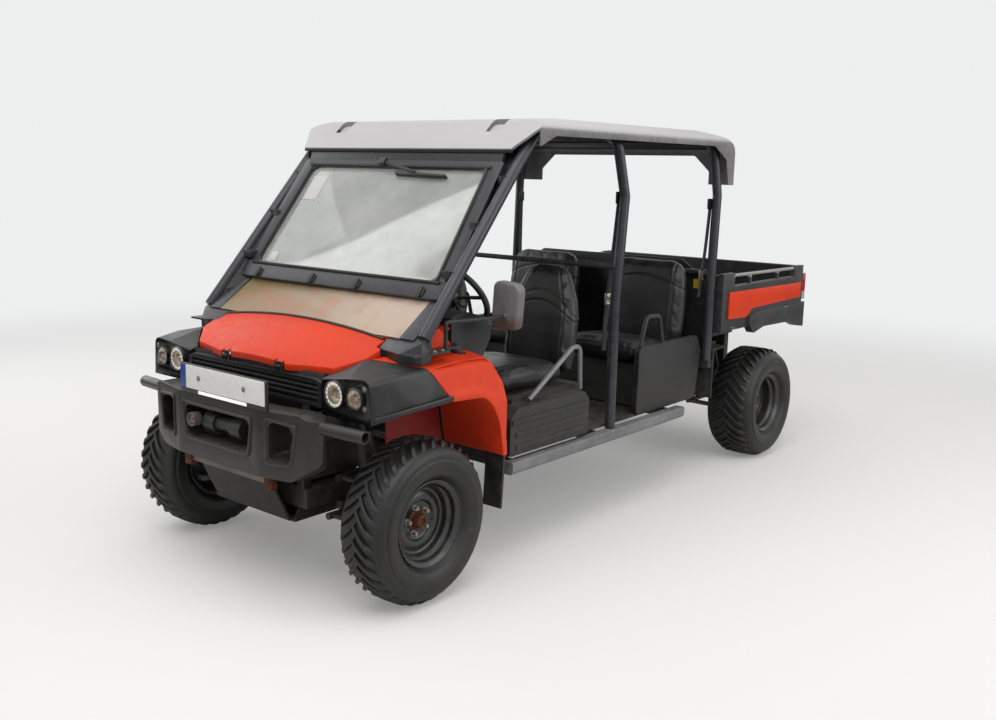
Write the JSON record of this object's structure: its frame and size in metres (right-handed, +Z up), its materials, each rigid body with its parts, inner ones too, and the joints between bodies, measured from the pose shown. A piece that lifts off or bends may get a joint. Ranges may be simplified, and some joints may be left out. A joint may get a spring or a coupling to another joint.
{
  "type": "side by side utility vehicle",
  "caption": "Crew cab side by side utility vehicle with a roof, windscreen, bench seats and a tipping cargo bed.",
  "frame": {"origin": "on the ground under the middle of the vehicle's length and width", "axes": "+Z up, +Y towards the rear, +X to the vehicle's left"},
  "size_m": [1.5826, 3.822, 1.862],
  "materials": {
    "tyre_rubber": "worn black tread rubber",
    "rim_black": "satin black enamel, rusty at the hub",
    "axle_steel": "dirty steel with rust",
    "frame_black": "satin black powder coat",
    "sill_grey": "scuffed grey paint",
    "red_body": "bright orange red moulded body plastic",
    "black_plastic": "weathered black moulded plastic",
    "roof_plastic": "stained pale grey moulded plastic",
    "cage_grey": "dark grey powder coat",
    "screen_glass": "clear laminated glass",
    "clear_panel": "yellowed clear polycarbonate",
    "seat_vinyl": "black seat vinyl",
    "rail_grey": "light grey tube paint",
    "plate_white": "blank white plate",
    "lamp_lens": "clear lamp lens",
    "tail_red": "red lamp plastic",
    "engine_grey": "dirty cast metal",
    "mirror_grey": "faded grey plastic",
    "wiper_black": "black",
    "bed_black": "scuffed black bed moulding",
    "wheel_grip": "soft grip"
  },
  "bodies": {
    "chassis": {"frame_rails": "frame_black", "frame_cross_members": "frame_black", "front_tower": "frame_black", "rear_subframe": "frame_black", "side_sills": "sill_grey", "front_wishbones": "frame_black", "spring_struts": "frame_black", "rear_axle": "axle_steel", "engine": "engine_grey", "skid_plate": "frame_black", "front_bumper": "black_plastic", "winch": "frame_black", "number_plate": "plate_white", "grille": "black_plastic", "cowl": "red_body", "lamp_fairings": "black_plastic", "front_fenders": "red_body", "front_lamps": "lamp_lens", "mudguards": "black_plastic", "windscreen_frame": "cage_grey", "windscreen_glass": "screen_glass", "lower_screen": "clear_panel", "wiper": "wiper_black", "cage_front": "cage_grey", "cage_middle": "cage_grey", "cage_rear": "cage_grey", "roof": "roof_plastic", "cabin_floor": "black_plastic", "dash": "black_plastic", "seat_bases": "black_plastic", "front_seats": "seat_vinyl", "rear_seats": "seat_vinyl", "front_hip_rails": "rail_grey", "rear_panels": "black_plastic", "mirrors": "mirror_grey"},
    "cargo_bed": {"cargo_bed": "bed_black", "bed_side_panels": "red_body", "tail_lamps": "tail_red"},
    "tailgate": {"tailgate": "bed_black"},
    "hood": {"hood": "red_body"},
    "steering_wheel": {"steering_wheel": "wheel_grip"},
    "steering_rack": {"steering_rack": "axle_steel"},
    "knuckle_left": {"knuckle_left": "axle_steel"},
    "knuckle_right": {"knuckle_right": "axle_steel"},
    "wheel_front_left": {"tyre_front_left": "tyre_rubber", "rim_front_left": "rim_black"},
    "wheel_front_right": {"tyre_front_right": "tyre_rubber", "rim_front_right": "rim_black"},
    "wheel_rear_left": {"tyre_rear_left": "tyre_rubber", "rim_rear_left": "rim_black"},
    "wheel_rear_right": {"tyre_rear_right": "tyre_rubber", "rim_rear_right": "rim_black"}
  },
  "joints": [
    {"name": "steer_left", "type": "hinge", "parent": "chassis", "child": "knuckle_left", "pos_m": [0.6, -1.481, 0.3175], "axis": [0, 0, 1], "range_deg": [-28, 28]},
    {"name": "steer_right", "type": "hinge", "parent": "chassis", "child": "knuckle_right", "pos_m": [-0.6, -1.481, 0.3175], "axis": [0, 0, 1], "range_deg": [-28, 28]},
    {"name": "spin_front_left", "type": "hinge", "parent": "knuckle_left", "child": "wheel_front_left", "pos_m": [0.65, -1.481, 0.3175], "axis": [1, 0, 0], "continuous": true},
    {"name": "spin_front_right", "type": "hinge", "parent": "knuckle_right", "child": "wheel_front_right", "pos_m": [-0.65, -1.481, 0.3175], "axis": [1, 0, 0], "continuous": true},
    {"name": "spin_rear_left", "type": "hinge", "parent": "chassis", "child": "wheel_rear_left", "pos_m": [0.647, 1.359, 0.3175], "axis": [1, 0, 0], "continuous": true},
    {"name": "spin_rear_right", "type": "hinge", "parent": "chassis", "child": "wheel_rear_right", "pos_m": [-0.647, 1.359, 0.3175], "axis": [1, 0, 0], "continuous": true},
    {"name": "rack_slide", "type": "slide", "parent": "chassis", "child": "steering_rack", "axis": [1, 0, 0], "range_m": [-0.05, 0.05]},
    {"name": "steering_turn", "type": "hinge", "parent": "chassis", "child": "steering_wheel", "pos_m": [0.365, -0.979, 1.096], "axis": [0, 0.788, 0.6157], "range_deg": [-452, 452]},
    {"name": "bed_tilt", "type": "hinge", "parent": "chassis", "child": "cargo_bed", "pos_m": [0, 1.599, 0.748], "axis": [-1, 0, 0], "range_deg": [0, 45]},
    {"name": "tailgate_fold", "type": "hinge", "parent": "cargo_bed", "child": "tailgate", "pos_m": [0, 1.889, 0.815], "axis": [-1, 0, 0], "range_deg": [0, 90]},
    {"name": "hood_tip", "type": "hinge", "parent": "chassis", "child": "hood", "pos_m": [0, -1.73, 0.875], "axis": [1, 0, 0], "range_deg": [0, 60]}
  ],
  "couplings": [
    {"joint": "steer_right", "follows": "steer_left", "ratio": 1},
    {"joint": "rack_slide", "follows": "steer_left", "m_per_rad": -0.1},
    {"joint": "steering_turn", "follows": "steer_left", "ratio": 16}
  ]
}
